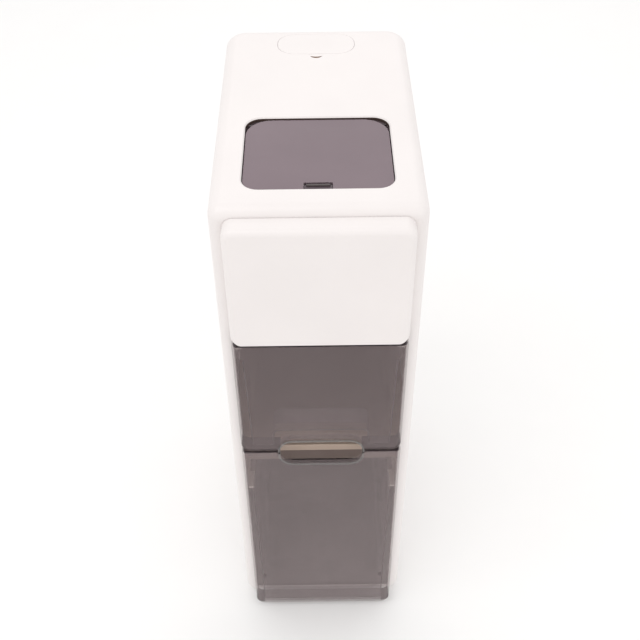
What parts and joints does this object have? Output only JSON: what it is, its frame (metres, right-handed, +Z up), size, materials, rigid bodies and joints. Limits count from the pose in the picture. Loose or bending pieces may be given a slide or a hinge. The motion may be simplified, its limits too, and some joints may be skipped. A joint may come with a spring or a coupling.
{
  "type": "trash compactor",
  "caption": "Slim upright household trash compactor: white cabinet with a smoked top feed lid, a screw-driven ram, and two smoked pull-out drawers sharing one handle recess.",
  "frame": {"origin": "middle of the footprint, on the floor", "axes": "+Z up, the drawer fronts face -Y, +X to the right seen from the front"},
  "size_m": [0.268, 0.4794, 0.864],
  "materials": {
    "white_plastic": "warm white moulded plastic, satin gloss",
    "inner_plastic": "ivory moulded plastic",
    "smoked_plastic": "smoked transparent moulded plastic",
    "lid_plastic": "smoked mauve-grey transparent plastic",
    "black_plastic": "black moulded plastic",
    "rubber": "black rubber",
    "steel": "brushed stainless steel",
    "zinc": "zinc-plated sheet and cast alloy",
    "brass": "machined brass",
    "charcoal": "charcoal cartridge",
    "circuit_board": "green circuit board"
  },
  "bodies": {
    "cabinet": {"outer_shell": "white_plastic", "base_plinth": "white_plastic", "front_fascia": "white_plastic", "filter_housing": "white_plastic", "divider_shelf": "inner_plastic", "bay_wall": "inner_plastic", "upper_rail_left": "inner_plastic", "upper_rail_right": "inner_plastic", "lower_rail_left": "inner_plastic", "lower_rail_right": "inner_plastic", "rear_cover": "inner_plastic", "shutter_cross_member": "inner_plastic", "throat_collar": "black_plastic", "lid_switch": "black_plastic", "power_inlet": "black_plastic", "foot_front_left": "rubber", "foot_front_right": "rubber", "foot_rear_left": "rubber", "foot_rear_right": "rubber", "lid_gasket": "rubber", "drive_belt": "rubber", "lid_hinge_pin": "steel", "chamber_liner": "steel", "thrust_bearing": "steel", "drive_motor": "steel", "shutter_motor": "steel", "rear_cover_screw_1": "steel", "rear_cover_screw_2": "steel", "rear_cover_screw_3": "steel", "rear_cover_screw_4": "steel", "chamber_deck": "zinc", "guide_block": "zinc", "bearing_block": "zinc", "motor_bracket": "zinc", "gearbox": "zinc", "shutter_rail_left": "zinc", "shutter_rail_right": "zinc", "control_board": "circuit_board"},
    "lid": {"lid_window": "lid_plastic"},
    "latch": {"lid_latch": "black_plastic"},
    "deodoriser": {"filter_cover": "white_plastic", "filter_cartridge": "charcoal"},
    "ram": {"ram_plate": "steel", "ram_tube": "steel", "drive_nut": "brass", "guide_rod_left": "steel", "guide_rod_right": "steel"},
    "screw": {"lead_screw": "steel", "screw_pulley": "black_plastic"},
    "motor_shaft": {"motor_pulley": "black_plastic"},
    "shutter": {"drop_shutter": "steel", "shutter_rack": "black_plastic"},
    "pinion": {"shutter_pinion": "brass"},
    "upper_drawer": {"upper_drawer_front": "smoked_plastic", "upper_bin": "smoked_plastic", "grip_hood": "smoked_plastic"},
    "lower_drawer": {"lower_drawer_front": "smoked_plastic", "lower_bin": "smoked_plastic"},
    "button": {"power_button": "black_plastic"}
  },
  "joints": [
    {"name": "lid_hinge", "type": "hinge", "parent": "cabinet", "child": "lid", "pos_m": [0, -0.02065, 0.8576], "axis": [-1, 0, 0], "range_deg": [0, 95]},
    {"name": "latch_slide", "type": "slide", "parent": "lid", "child": "latch", "axis": [0, 1, 0], "range_m": [0, 0.004], "stiffness_N_per_m": 300},
    {"name": "deodoriser_lift", "type": "slide", "parent": "cabinet", "child": "deodoriser", "axis": [0, 0, 1], "range_m": [0, 0.09]},
    {"name": "ram_slide", "type": "slide", "parent": "cabinet", "child": "ram", "axis": [0, -1, 0], "range_m": [0, 0.13]},
    {"name": "screw_spin", "type": "hinge", "parent": "cabinet", "child": "screw", "pos_m": [0, 0, 0.7535], "axis": [0, -1, 0], "range_deg": [0, 4700]},
    {"name": "motor_spin", "type": "hinge", "parent": "cabinet", "child": "motor_shaft", "pos_m": [0, 0, 0.6015], "axis": [0, -1, 0], "range_deg": [0, 9650]},
    {"name": "shutter_slide", "type": "slide", "parent": "cabinet", "child": "shutter", "axis": [0, 1, 0], "range_m": [0, 0.16]},
    {"name": "pinion_spin", "type": "hinge", "parent": "cabinet", "child": "pinion", "pos_m": [0, 0.01375, 0.647], "axis": [-1, 0, 0], "range_deg": [0, 1025]},
    {"name": "upper_drawer_slide", "type": "slide", "parent": "cabinet", "child": "upper_drawer", "axis": [0, -1, 0], "range_m": [0, 0.28]},
    {"name": "lower_drawer_slide", "type": "slide", "parent": "cabinet", "child": "lower_drawer", "axis": [0, -1, 0], "range_m": [0, 0.28]},
    {"name": "button_press", "type": "slide", "parent": "cabinet", "child": "button", "axis": [0, -1, 0], "range_m": [0, 0.0025], "stiffness_N_per_m": 400}
  ],
  "couplings": [
    {"joint": "screw_spin", "follows": "ram_slide", "rad_per_m": 628.32},
    {"joint": "motor_spin", "follows": "ram_slide", "rad_per_m": 1289.7},
    {"joint": "pinion_spin", "follows": "shutter_slide", "rad_per_m": 111.11}
  ]
}
